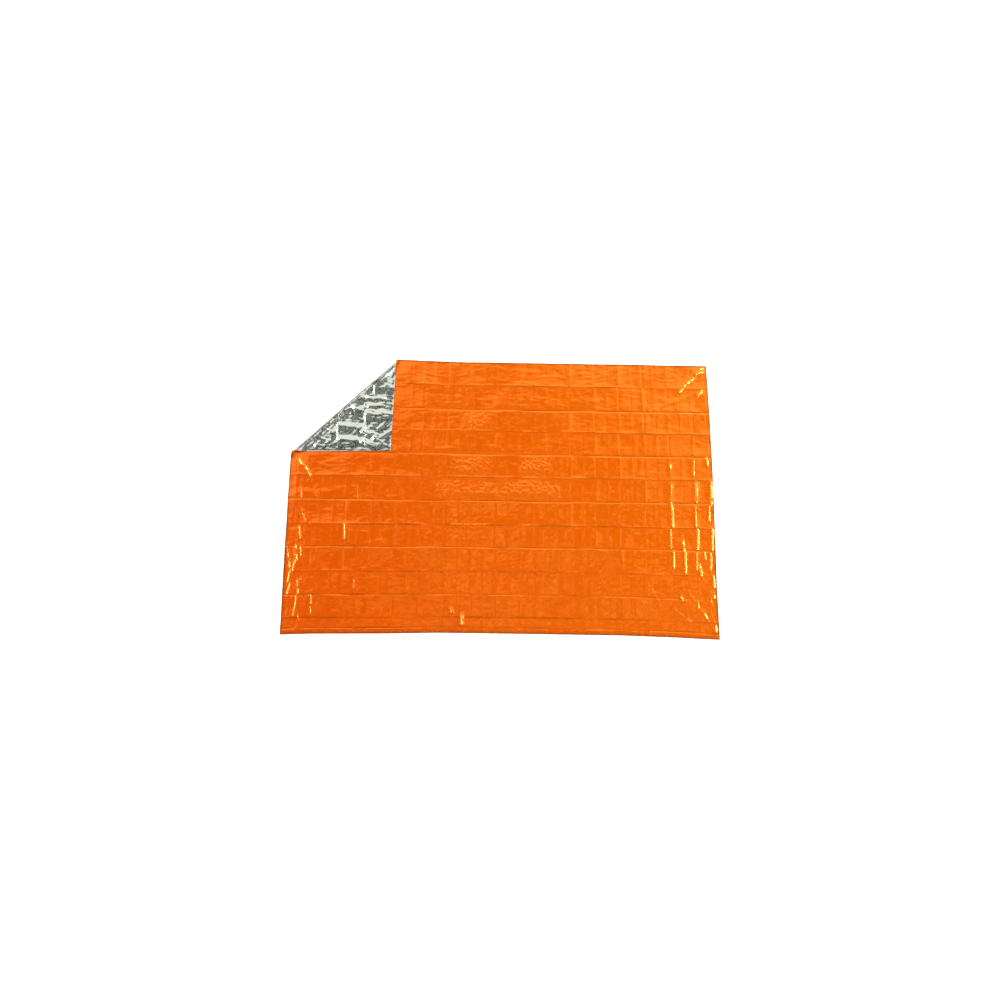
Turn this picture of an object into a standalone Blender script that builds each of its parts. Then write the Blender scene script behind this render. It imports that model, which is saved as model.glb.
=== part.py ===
"""Emergency foil blanket, laid out flat with one corner folded over its front.

The blanket is a single cut sheet of laminated film, glossy orange on the face that lies up and
silver on the back. It is modelled as the flat cut sheet, with a line of the mesh on every pack
crease and on the foot of the ridge or trough that the crease left. The corner is then rolled
over along a diagonal, the edges are drawn in as they lie, and the sheet gets its thickness.

Metres, +Z up. The origin is on the surface under the middle of the sheet. +X runs along the
long edges, and +Y points to the edge that carries the folded corner at its left end.
"""

from collections import namedtuple
from math import cos, pi, sin

import bmesh
import bpy
from mathutils import Vector

NAME = "foil_sheet"

# The cut sheet
CUT_WIDTH = 2.13
CUT_DEPTH = 1.42
THICKNESS = 0.001
HALF_WIDTH = CUT_WIDTH / 2
HALF_DEPTH = CUT_DEPTH / 2

# How far each cut edge lies inside the cut rectangle. at is the place along that edge.
EdgeStation = namedtuple("EdgeStation", "at inset")
TOP_EDGE = (
    EdgeStation(-0.52, 0.000),
    EdgeStation(-0.42, 0.004),
    EdgeStation(-0.20, 0.010),
    EdgeStation(0.60, 0.011),
    EdgeStation(HALF_WIDTH, 0.014),
)
BOTTOM_EDGE = (
    EdgeStation(-HALF_WIDTH, 0.000),
    EdgeStation(-0.92, 0.006),
    EdgeStation(-0.55, 0.012),
    EdgeStation(-0.29, 0.019),
    EdgeStation(0.10, 0.019),
    EdgeStation(0.60, 0.018),
    EdgeStation(0.84, 0.012),
    EdgeStation(HALF_WIDTH, 0.004),
)
LEFT_EDGE = (
    EdgeStation(-HALF_DEPTH, 0.012),
    EdgeStation(-0.40, 0.006),
    EdgeStation(-0.10, 0.002),
    EdgeStation(0.05, 0.000),
)
RIGHT_EDGE = (
    EdgeStation(-HALF_DEPTH, 0.004),
    EdgeStation(-0.45, 0.006),
    EdgeStation(-0.08, 0.002),
    EdgeStation(0.11, 0.000),
    EdgeStation(0.40, 0.002),
    EdgeStation(HALF_DEPTH, 0.008),
)

# The pack creases that run the long way, folded first. at is the place across the sheet.
RowCrease = namedtuple("RowCrease", "at form height")
ROW_CREASES = (
    RowCrease(-0.630, "ridge", 0.0050),
    RowCrease(-0.519, "trough", 0.0028),
    RowCrease(-0.402, "ridge", 0.0060),
    RowCrease(-0.280, "trough", 0.0034),
    RowCrease(-0.165, "ridge", 0.0048),
    RowCrease(-0.039, "trough", 0.0030),
    RowCrease(0.085, "ridge", 0.0055),
    RowCrease(0.206, "trough", 0.0026),
    RowCrease(0.330, "ridge", 0.0058),
    RowCrease(0.447, "trough", 0.0034),
    RowCrease(0.581, "ridge", 0.0052),
)
RIDGE_FOOT = 0.024
TROUGH_SHOULDER = 0.018
TROUGH_FOOT = 0.045

# The creases that run the short way, folded last and so bent up and down by turns of the rows
COLUMN_COUNT = 17
COLUMN_PITCH = 0.1251
LAST_COLUMN = 0.975
WEAK_SHARE = 0.4

# Lower creases half-way between them, kept only at the end that is folded over
HALF_COLUMN_LIMIT = -0.56
HALF_COLUMN_HEIGHT = 0.0036
HALF_COLUMN_FOOT = COLUMN_PITCH / 2 - RIDGE_FOOT

# Height of those creases along the sheet. up_to is the right-hand end of each band.
ColumnBand = namedtuple("ColumnBand", "up_to height")
COLUMN_BANDS = (
    ColumnBand(-0.88, 0.0060),
    ColumnBand(-0.12, 0.0024),
    ColumnBand(0.55, 0.0034),
    ColumnBand(0.80, 0.0048),
    ColumnBand(HALF_WIDTH, 0.0068),
)

# The folded corner: where its roll starts on the two cut edges, measured from the corner
FOLD_DOWN_LEFT_EDGE = 0.528
FOLD_ALONG_TOP_EDGE = 0.537
ROLL_RADIUS = 0.011
ROLL_STEPS = 6

# The flap past the roll: it falls from the roll to a rest height over a stretch, its crumpling
# draws it in, it lies a little askew, and its creases stand higher than those of the sheet
FLAP_REST = 0.0065
FLAP_FALL = 0.24
FLAP_DRAWN_IN = 0.963
FLAP_SLIP = 0.033
FLAP_CREASE_GAIN = 1.4

# Creases fade into the roll over a stretch on both sides, and are pressed flat under the flap
CREASE_FADE = 0.060
PRESSED_SHARE = 0.4

ORANGE_FACE = (0.89, 0.15, 0.008, 1.0)
SILVER_BACK = (0.62, 0.64, 0.62, 1.0)

FOLD_START = Vector((-HALF_WIDTH, HALF_DEPTH - FOLD_DOWN_LEFT_EDGE))
FOLD_END = Vector((-HALF_WIDTH + FOLD_ALONG_TOP_EDGE, HALF_DEPTH))
FOLD_ALONG = (FOLD_END - FOLD_START).normalized()
FOLD_ACROSS = Vector((-FOLD_ALONG.y, FOLD_ALONG.x))
ROLL_LENGTH = pi * ROLL_RADIUS


def clear_scene():
    """Remove every object of the open scene."""
    for old in list(bpy.data.objects):
        bpy.data.objects.remove(old, do_unlink=True)


def column_places():
    """Places of the short creases, from left to right."""
    first = LAST_COLUMN - (COLUMN_COUNT - 1) * COLUMN_PITCH
    return [first + number * COLUMN_PITCH for number in range(COLUMN_COUNT)]


def half_column_places():
    """Places of the lower creases between the short ones at the folded end."""
    middles = [at + COLUMN_PITCH / 2 for at in column_places()]
    return [at for at in middles if at < HALF_COLUMN_LIMIT]


def between(stations, at):
    """Inset at a place along an edge, straight between its stations."""
    if at <= stations[0].at:
        return stations[0].inset
    for low, high in zip(stations, stations[1:]):
        if at <= high.at:
            share = (at - low.at) / (high.at - low.at)
            return low.inset + share * (high.inset - low.inset)
    return stations[-1].inset


def smooth_share(value):
    """Ease a value from 0 to 1."""
    value = min(1.0, max(0.0, value))
    return value * value * (3.0 - 2.0 * value)


def ridge(offset, foot=RIDGE_FOOT):
    """Share of a ridge's height at an offset from its crease."""
    return max(0.0, 1.0 - abs(offset) / foot)


def trough(offset):
    """Share of a trough's shoulders at an offset from its crease, which stays down."""
    offset = abs(offset)
    if offset < TROUGH_SHOULDER:
        return offset / TROUGH_SHOULDER
    return max(0.0, 1.0 - (offset - TROUGH_SHOULDER) / (TROUGH_FOOT - TROUGH_SHOULDER))


def row_relief(v):
    """Height that the long creases give the sheet."""
    forms = {"ridge": ridge, "trough": trough}
    return sum(row.height * forms[row.form](v - row.at) for row in ROW_CREASES)


def column_relief(u, v):
    """Height that the short creases give the sheet, strong and weak by turns."""
    row_number = sum(1 for row in ROW_CREASES if v > row.at)
    height = 0.0
    for number, at in enumerate(column_places()):
        band = next(band for band in COLUMN_BANDS if at <= band.up_to)
        share = WEAK_SHARE if (number + row_number) % 2 else 1.0
        height += share * band.height * ridge(u - at)
    for number, at in enumerate(half_column_places()):
        share = 1.0 if (number + row_number) % 2 else WEAK_SHARE
        height += share * HALF_COLUMN_HEIGHT * ridge(u - at, HALF_COLUMN_FOOT)
    return height


def grid_lines(half_size, crease_feet):
    """Sorted places of the mesh lines: the cut edges, the creases and the feet beside them."""
    places = {-half_size, half_size}
    for at, feet in crease_feet:
        places.add(at)
        for foot in feet:
            places.add(at - foot)
            places.add(at + foot)
    return sorted(place for place in places if abs(place) <= half_size)


def creased_grid():
    """Flat cut sheet with a mesh line on each crease and foot, cut again along the roll."""
    creases = [(at, (RIDGE_FOOT,)) for at in column_places()]
    creases += [(at, ()) for at in half_column_places()]
    columns = grid_lines(HALF_WIDTH, creases)
    feet = {"ridge": (RIDGE_FOOT,), "trough": (TROUGH_SHOULDER, TROUGH_FOOT)}
    rows = grid_lines(HALF_DEPTH, [(row.at, feet[row.form]) for row in ROW_CREASES])
    across = len(columns) - 1
    down = len(rows) - 1
    mesh = bmesh.new()
    bmesh.ops.create_grid(mesh, x_segments=across, y_segments=down, size=1.0)
    for vert in mesh.verts:
        column = round((vert.co.x + 1.0) / 2.0 * across)
        row = round((vert.co.y + 1.0) / 2.0 * down)
        vert.co = (columns[column], rows[row], 0.0)
    for step in range(ROLL_STEPS + 1):
        place = FOLD_START + FOLD_ACROSS * (ROLL_LENGTH * step / ROLL_STEPS)
        bmesh.ops.bisect_plane(
            mesh,
            geom=mesh.verts[:] + mesh.edges[:] + mesh.faces[:],
            dist=0.0005,
            plane_co=(place.x, place.y, 0.0),
            plane_no=(FOLD_ACROSS.x, FOLD_ACROSS.y, 0.0),
        )
    bmesh.ops.triangulate(mesh, faces=mesh.faces[:])
    return mesh


def fold_corner(u, v):
    """Place of a point of the cut sheet once it is creased and its corner is rolled over."""
    relief = row_relief(v) + column_relief(u, v)
    from_start = Vector((u, v)) - FOLD_START
    past = from_start.dot(FOLD_ACROSS)
    along = from_start.dot(FOLD_ALONG)
    relief *= smooth_share(max(-past, past - ROLL_LENGTH) / CREASE_FADE)
    if past <= 0.0:
        pressed = 1.0 - (1.0 - PRESSED_SHARE) * under_flap(along, past)
        return u, v, pressed * relief
    if past < ROLL_LENGTH:
        turn = past / ROLL_RADIUS
        plan = FOLD_START + FOLD_ALONG * along + FOLD_ACROSS * (ROLL_RADIUS * sin(turn))
        return plan.x, plan.y, ROLL_RADIUS * (1.0 - cos(turn))
    back = past - ROLL_LENGTH
    fall = max(0.0, 1.0 - back / FLAP_FALL)
    height = FLAP_REST + (2.0 * ROLL_RADIUS - FLAP_REST) * fall * fall
    height += FLAP_CREASE_GAIN * relief
    slipped = FOLD_START + FOLD_ALONG * (along + FLAP_SLIP * back)
    plan = slipped - FOLD_ACROSS * (FLAP_DRAWN_IN * back)
    return plan.x, plan.y, height


def under_flap(along, past):
    """1 under the folded corner, easing to 0 a little way outside it."""
    corner = Vector((-HALF_WIDTH, HALF_DEPTH)) - FOLD_START
    reach = corner.dot(FOLD_ACROSS) - ROLL_LENGTH
    middle = corner.dot(FOLD_ALONG)
    half_span = (FOLD_END - FOLD_START).length / 2
    inside_tip = reach + 2 * CREASE_FADE + past
    inside_edges = half_span + 2 * CREASE_FADE - abs(along - middle) + past
    return smooth_share(min(inside_tip, inside_edges) / CREASE_FADE)


def draw_in(x, y):
    """Pull the outline in from the cut rectangle to where the edges lie."""
    side = LEFT_EDGE if x < 0.0 else RIGHT_EDGE
    end = BOTTOM_EDGE if y < 0.0 else TOP_EDGE
    return x * (1.0 - between(side, y) / HALF_WIDTH), y * (1.0 - between(end, x) / HALF_DEPTH)


def film_material(name, colour, metallic, roughness):
    """Plain material for one face of the film."""
    material = bpy.data.materials.new(name)
    material.use_nodes = True
    shader = material.node_tree.nodes["Principled BSDF"]
    shader.inputs["Base Color"].default_value = colour
    shader.inputs["Metallic"].default_value = metallic
    shader.inputs["Roughness"].default_value = roughness
    return material


def build_sheet(collection):
    """Creased sheet with its folded corner, as one closed solid that rests on Z = 0."""
    grid = creased_grid()
    for vert in grid.verts:
        x, y, height = fold_corner(vert.co.x, vert.co.y)
        x, y = draw_in(x, y)
        vert.co = (x, y, round(height, 6))
    mesh = bpy.data.meshes.new(NAME)
    grid.to_mesh(mesh)
    grid.free()
    mesh.materials.append(film_material("orange_face", ORANGE_FACE, 0.0, 0.3))
    mesh.materials.append(film_material("silver_back", SILVER_BACK, 1.0, 0.2))
    sheet = bpy.data.objects.new(NAME, mesh)
    collection.objects.link(sheet)
    body = sheet.modifiers.new("film_thickness", "SOLIDIFY")
    body.thickness = THICKNESS
    body.offset = 1.0
    body.material_offset = 1
    return sheet


def main():
    """Build the blanket in a collection of its own."""
    clear_scene()
    collection = bpy.data.collections.new("emergency_foil_blanket")
    bpy.context.scene.collection.children.link(collection)
    build_sheet(collection)


main()
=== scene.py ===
"""Emergency foil blanket: the finished film sheet, its studio and its camera.

The blanket is one cut sheet of laminated film, laid out flat with the orange face up and one
corner rolled over so that the silver back shows. The sheet starts as a flat grid whose lines
crowd together at the pack creases. Functions of the place on the cut sheet give each point its
height, the corner is rolled over, the edges are drawn in, and the film gets its thickness.

Metres, +Z up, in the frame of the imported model.
"""

from collections import namedtuple
from math import pi, radians

import bmesh
import bpy
import numpy as np
from mathutils import Matrix, Vector


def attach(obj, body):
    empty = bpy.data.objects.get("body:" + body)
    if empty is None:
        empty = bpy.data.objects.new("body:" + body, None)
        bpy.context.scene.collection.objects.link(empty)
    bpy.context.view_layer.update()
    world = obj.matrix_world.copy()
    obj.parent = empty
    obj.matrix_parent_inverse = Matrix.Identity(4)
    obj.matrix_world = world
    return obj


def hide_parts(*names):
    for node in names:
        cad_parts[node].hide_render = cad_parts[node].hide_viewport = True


bl_info = {
    "name": "Emergency Foil Blanket",
    "version": (1, 0, 0),
    "blender": (4, 5, 0),
    "location": "View3D > Sidebar > Foil Blanket",
    "description": "Builds a two-faced foil blanket with pack creases and a folded corner",
    "category": "Add Mesh",
}

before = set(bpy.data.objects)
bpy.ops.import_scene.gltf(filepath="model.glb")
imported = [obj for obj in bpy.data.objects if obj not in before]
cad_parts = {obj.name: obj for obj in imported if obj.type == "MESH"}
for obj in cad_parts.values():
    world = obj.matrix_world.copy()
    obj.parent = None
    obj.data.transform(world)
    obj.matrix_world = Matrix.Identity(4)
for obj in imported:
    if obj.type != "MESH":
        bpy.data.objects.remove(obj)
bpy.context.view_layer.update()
MM = 0.001

# The cut sheet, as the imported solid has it
CUT_WIDTH = 2.13
CUT_DEPTH = 1.42
HALF_WIDTH = CUT_WIDTH / 2
HALF_DEPTH = CUT_DEPTH / 2

# How far each cut edge lies inside the cut rectangle. at is the place along that edge.
EdgeStation = namedtuple("EdgeStation", "at inset")
TOP_EDGE = (
    EdgeStation(-0.52, 0.000),
    EdgeStation(-0.42, 0.004),
    EdgeStation(-0.20, 0.010),
    EdgeStation(0.60, 0.011),
    EdgeStation(HALF_WIDTH, 0.014),
)
BOTTOM_EDGE = (
    EdgeStation(-HALF_WIDTH, 0.000),
    EdgeStation(-0.92, 0.006),
    EdgeStation(-0.55, 0.012),
    EdgeStation(-0.29, 0.019),
    EdgeStation(0.10, 0.019),
    EdgeStation(0.60, 0.018),
    EdgeStation(0.84, 0.012),
    EdgeStation(HALF_WIDTH, 0.004),
)
LEFT_EDGE = (
    EdgeStation(-HALF_DEPTH, 0.012),
    EdgeStation(-0.40, 0.006),
    EdgeStation(-0.10, 0.002),
    EdgeStation(0.05, 0.000),
)
RIGHT_EDGE = (
    EdgeStation(-HALF_DEPTH, 0.004),
    EdgeStation(-0.45, 0.006),
    EdgeStation(-0.08, 0.002),
    EdgeStation(0.11, 0.000),
    EdgeStation(0.40, 0.002),
    EdgeStation(HALF_DEPTH, 0.008),
)

# The creases that run the long way: one by the front edge, then the pack creases. at is the
# place across the sheet.
RowCrease = namedtuple("RowCrease", "at form height")
ROW_CREASES = (
    RowCrease(-0.682, "trough", 0.0018),
    RowCrease(-0.630, "ridge", 0.0018),
    RowCrease(-0.519, "trough", 0.0016),
    RowCrease(-0.402, "ridge", 0.0022),
    RowCrease(-0.280, "trough", 0.0022),
    RowCrease(-0.165, "ridge", 0.0022),
    RowCrease(-0.039, "trough", 0.0021),
    RowCrease(0.085, "ridge", 0.0024),
    RowCrease(0.206, "trough", 0.0020),
    RowCrease(0.330, "ridge", 0.0024),
    RowCrease(0.447, "trough", 0.0017),
    RowCrease(0.581, "ridge", 0.0022),
)
ROW_RIDGE_BACK = 0.0100
ROW_RIDGE_FRONT = 0.0055
ROW_TROUGH_WIDTH = 0.008
# How far a crease may shift from one panel to the next
CREASE_DRIFT = 0.0016
# How high the corners of the panels between the creases may stand
PANEL_LIFT = 0.0030
# Mesh lines: how far from a long crease they lie, and how many steps fill a panel's middle
ROW_FEET = (0.0024, 0.0060, 0.0115)
ROW_FEET_ROOM = 0.02
ROW_MIDDLE_DEPTH = 0.10
ROW_MIDDLE_STEPS = 3
# Share of a panel that the mesh lines at a crease's foot may reach across
FOOT_REACH = 0.3

# The short creases: a main one each pitch, a fainter one half-way, up and down by turns of rows
COLUMN_COUNT = 17
COLUMN_PITCH = 0.1251
LAST_COLUMN = 0.975
LAST_HALF_COLUMN = 1.046
COLUMN_RIDGE_WIDTH = 0.006
COLUMN_TROUGH_WIDTH = 0.007
COLUMN_TROUGH_SHARE = 0.8
# Least and greatest share of its band's height that a short crease has in one row
COLUMN_SHARES = (0.55, 1.3)
# Share of a short crease's height that is left where a long one crosses it, and the fade to there
CROSSING_SHARE = 0.25
CROSSING_FADE = 0.016
COLUMN_FEET = (0.0030, 0.0085)

# Crease heights, and mesh steps between their feet, up to the right end of a band
ColumnBand = namedtuple("ColumnBand", "up_to main half steps")
COLUMN_BANDS = (
    ColumnBand(-0.90, 0.0007, 0.0005, 3),
    ColumnBand(-0.52, 0.0010, 0.0007, 2),
    ColumnBand(-0.12, 0.0012, 0.0008, 2),
    ColumnBand(0.30, 0.0015, 0.0010, 2),
    ColumnBand(0.55, 0.0017, 0.0009, 2),
    ColumnBand(0.76, 0.0017, 0.0009, 2),
    ColumnBand(HALF_WIDTH, 0.0013, 0.0008, 3),
)

# What varies along each crease: its mean, how far it strays, and the noise that drives it. The
# noise cells are long across the crease, so that they hardly vary there.
Uneven = namedtuple("Uneven", "mean spread cell_x cell_y seed")
ROW_HEIGHT_SHARE = Uneven(0.85, 0.45, 0.07, 9.0, 40)
# The next two give the painted shade along the long and the short creases
ROW_CREASE_SHADE = Uneven(0.28, 0.36, 0.09, 9.0, 80)
COLUMN_CREASE_SHADE = Uneven(0.03, 0.10, 9.0, 0.06, 120)
# How wide painted shade darkens the film at a crease
CREASE_SHADE_WIDTH = 0.0026

# Slow swell of the whole sheet: height, and size of its cells along and across
SWELL_HEIGHT = 0.0005
SWELL_CELL = (0.10, 0.05)

# Seeds of the random draws, and the table of random values that noise is read from
ROW_DRIFT_SEED = 17
COLUMN_SHARE_SEED = 7
COLUMN_DRIFT_SEED = 8
PANEL_SEED = 31
SWELL_SEED = 11
CRUSH_SEED = 23
NOISE_TABLE = 512
NOISE_START = 200.0

# The fold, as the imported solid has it: where it meets two cut edges, and the roll along it
FOLD_DOWN_LEFT_EDGE = 0.528
FOLD_ALONG_TOP_EDGE = 0.537
ROLL_RADIUS = 0.011
ROLL_LENGTH = pi * ROLL_RADIUS
ROLL_STEPS = 8

# The flap behind the roll: how it lies a little askew, and is drawn in across the fold
FLAP_DRAWN_IN = 0.963
FLAP_SLIP = 0.033
# Its height where it rests on the sheet, and how far it takes to fall there from the roll
FLAP_REST = 0.0048
FLAP_FALL = 0.032
# Width of the level strip between the roll and that fall, at places along the roll
RollStation = namedtuple("RollStation", "at level")
ROLL_TOP = (
    RollStation(0.30, 0.007),
    RollStation(0.36, 0.000),
    RollStation(0.55, 0.000),
    RollStation(0.59, 0.017),
    RollStation(0.74, 0.014),
)
# Behind the level strip the crush grows in over this length
FLAP_FADE = 0.020
# Mean height of the crush, and the share of the pack creases' heights that the flap keeps
CRUSH_HEIGHT = 0.0020
FLAP_CREASE_GAIN = 0.5
# The crush is weaker near the cut edges: its share at an edge, and the width of that ease
FLAP_EDGE_SHARE = 0.3
FLAP_EDGE_EASE = 0.045
# Curl of the cut edges: its height, and how fast it dies away from them
FLAP_CURL = 0.0011
FLAP_CURL_WIDTH = 0.0048
# The sheet's relief fades out towards the roll, and under the flap it is pressed to a share of
# itself about one height
CREASE_FADE = 0.060
PRESSED_SHARE = 0.4
PRESSED_HEIGHT = 0.0036

# Where the fold starts and ends, and its directions: along it, and across it to the corner
FOLD_START = np.array((-HALF_WIDTH, HALF_DEPTH - FOLD_DOWN_LEFT_EDGE))
FOLD_END = np.array((-HALF_WIDTH + FOLD_ALONG_TOP_EDGE, HALF_DEPTH))
FOLD_ALONG = (FOLD_END - FOLD_START) / np.linalg.norm(FOLD_END - FOLD_START)
FOLD_ACROSS = np.array((-FOLD_ALONG[1], FOLD_ALONG[0]))

# Wrinkles on the laid-out sheet, each a soft ridge from a start to an end. Those by two corners
# run aslant over the mesh, which is finest at their crests.
Wrinkle = namedtuple("Wrinkle", "x0 y0 x1 y1 height width")
CORNER_WRINKLES = (
    Wrinkle(-1.020, 0.173, -0.997, 0.143, 0.0060, 0.0060),
    Wrinkle(-0.997, 0.143, -0.975, 0.120, 0.0048, 0.0060),
    Wrinkle(-0.975, 0.120, -0.953, 0.078, 0.0036, 0.0055),
    Wrinkle(1.044, 0.686, 1.002, 0.662, 0.0070, 0.0085),
    Wrinkle(0.993, 0.638, 0.957, 0.612, 0.0042, 0.0085),
    Wrinkle(0.948, 0.602, 0.915, 0.562, 0.0040, 0.0085),
    Wrinkle(1.033, 0.569, 1.010, 0.544, 0.0038, 0.0080),
)
LEFT_WRINKLES = (
    Wrinkle(-1.002, 0.056, -0.996, 0.013, 0.0012, 0.0046),
    Wrinkle(-0.996, 0.005, -0.993, -0.034, 0.0017, 0.0046),
    Wrinkle(-0.996, -0.062, -0.991, -0.098, 0.0020, 0.0052),
    Wrinkle(-0.989, -0.104, -0.962, -0.150, 0.0022, 0.0052),
    Wrinkle(-0.975, -0.118, -0.942, -0.169, 0.0016, 0.0046),
    Wrinkle(-0.996, -0.180, -0.989, -0.215, 0.0020, 0.0052),
    Wrinkle(-0.989, -0.215, -0.985, -0.250, 0.0022, 0.0052),
    Wrinkle(-1.050, -0.277, -1.041, -0.326, 0.0017, 0.0046),
    Wrinkle(-1.007, -0.277, -0.996, -0.350, 0.0020, 0.0052),
    Wrinkle(-0.985, -0.282, -0.977, -0.334, 0.0017, 0.0046),
    Wrinkle(-1.034, -0.350, -1.029, -0.384, 0.0019, 0.0046),
    Wrinkle(-1.008, -0.358, -1.017, -0.400, 0.0019, 0.0046),
    Wrinkle(-1.029, -0.412, -1.038, -0.456, 0.0020, 0.0052),
    Wrinkle(-1.024, -0.464, -1.036, -0.518, 0.0022, 0.0065),
    Wrinkle(-0.992, -0.452, -0.983, -0.512, 0.0016, 0.0046),
    Wrinkle(-0.973, -0.436, -0.971, -0.465, 0.0016, 0.0039),
    Wrinkle(-0.994, -0.526, -0.995, -0.554, 0.0018, 0.0046),
    Wrinkle(-0.994, -0.562, -1.005, -0.622, 0.0020, 0.0059),
    Wrinkle(-0.921, -0.525, -0.918, -0.564, 0.0015, 0.0046),
    Wrinkle(-0.921, -0.582, -0.915, -0.620, 0.0014, 0.0046),
    Wrinkle(-0.980, -0.622, -0.970, -0.646, 0.0018, 0.0039),
    Wrinkle(-0.978, -0.671, -1.006, -0.692, 0.0019, 0.0046),
    Wrinkle(-0.933, -0.329, -0.928, -0.365, 0.0010, 0.0046),
    Wrinkle(-0.916, -0.314, -0.912, -0.380, 0.0010, 0.0046),
    Wrinkle(-0.918, -0.011, -0.914, -0.046, 0.0011, 0.0046),
    Wrinkle(-0.770, -0.164, -0.767, -0.252, 0.0036, 0.0058),
    Wrinkle(-0.764, -0.043, -0.768, -0.103, 0.0011, 0.0052),
    Wrinkle(-0.715, 0.009, -0.709, -0.034, 0.0015, 0.0050),
    Wrinkle(-0.711, -0.450, -0.706, -0.500, 0.0022, 0.0050),
    Wrinkle(-0.565, 0.011, -0.556, -0.091, 0.0010, 0.0052),
)
RIGHT_WRINKLES = (
    Wrinkle(0.937, 0.527, 0.892, 0.495, 0.0013, 0.0085),
    Wrinkle(0.960, 0.540, 0.790, 0.465, 0.0016, 0.0140),
    Wrinkle(1.035, 0.423, 1.000, 0.400, 0.0010, 0.0100),
    Wrinkle(1.043, 0.325, 0.995, 0.282, 0.0016, 0.0100),
    Wrinkle(0.869, 0.192, 0.848, 0.157, 0.0024, 0.0059),
    Wrinkle(0.971, 0.191, 0.967, 0.137, 0.0029, 0.0076),
    Wrinkle(1.034, 0.199, 1.038, 0.170, 0.0029, 0.0076),
    Wrinkle(0.852, 0.065, 0.847, -0.040, 0.0027, 0.0060),
    Wrinkle(0.974, 0.070, 0.975, -0.028, 0.0032, 0.0085),
    Wrinkle(1.050, 0.075, 1.048, -0.040, 0.0035, 0.0093),
    Wrinkle(0.852, -0.062, 0.854, -0.158, 0.0029, 0.0076),
    Wrinkle(0.970, -0.056, 0.971, -0.152, 0.0032, 0.0085),
    Wrinkle(1.040, -0.052, 1.034, -0.130, 0.0022, 0.0068),
    Wrinkle(0.843, -0.178, 0.842, -0.265, 0.0034, 0.0076),
    Wrinkle(0.901, -0.230, 0.907, -0.278, 0.0021, 0.0068),
    Wrinkle(0.976, -0.176, 0.971, -0.268, 0.0038, 0.0102),
    Wrinkle(1.049, -0.173, 1.045, -0.268, 0.0035, 0.0093),
    Wrinkle(0.855, -0.285, 0.854, -0.365, 0.0030, 0.0076),
    Wrinkle(0.909, -0.292, 0.909, -0.385, 0.0035, 0.0093),
    Wrinkle(0.969, -0.292, 0.967, -0.372, 0.0032, 0.0085),
    Wrinkle(0.976, -0.353, 0.987, -0.396, 0.0029, 0.0076),
    Wrinkle(1.008, -0.283, 1.011, -0.318, 0.0027, 0.0068),
    Wrinkle(1.036, -0.295, 1.035, -0.359, 0.0029, 0.0068),
    Wrinkle(1.046, -0.402, 1.049, -0.452, 0.0022, 0.0068),
    Wrinkle(0.884, -0.512, 0.895, -0.536, 0.0032, 0.0068),
    Wrinkle(1.029, -0.483, 1.035, -0.548, 0.0016, 0.0059),
    Wrinkle(0.960, -0.350, 1.050, -0.510, 0.0012, 0.0085),
    Wrinkle(0.991, -0.580, 1.039, -0.675, 0.0018, 0.0085),
    Wrinkle(0.919, -0.475, 1.000, -0.610, 0.0014, 0.0085),
    Wrinkle(1.014, -0.516, 1.047, -0.667, 0.0014, 0.0068),
    Wrinkle(0.842, -0.566, 0.920, -0.629, 0.0018, 0.0102),
    Wrinkle(0.745, -0.480, 0.785, -0.567, 0.0019, 0.0119),
)
MIDDLE_WRINKLES = (
    Wrinkle(-0.180, -0.622, -0.177, -0.668, 0.0060, 0.008),
    Wrinkle(-0.238, -0.580, -0.228, -0.612, 0.0052, 0.006),
    Wrinkle(-0.447, -0.500, -0.445, -0.575, 0.0016, 0.007),
    Wrinkle(-0.298, -0.585, -0.300, -0.600, 0.0030, 0.008),
)
SHEET_WRINKLES = (*CORNER_WRINKLES, *LEFT_WRINKLES, *MIDDLE_WRINKLES, *RIGHT_WRINKLES)

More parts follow.
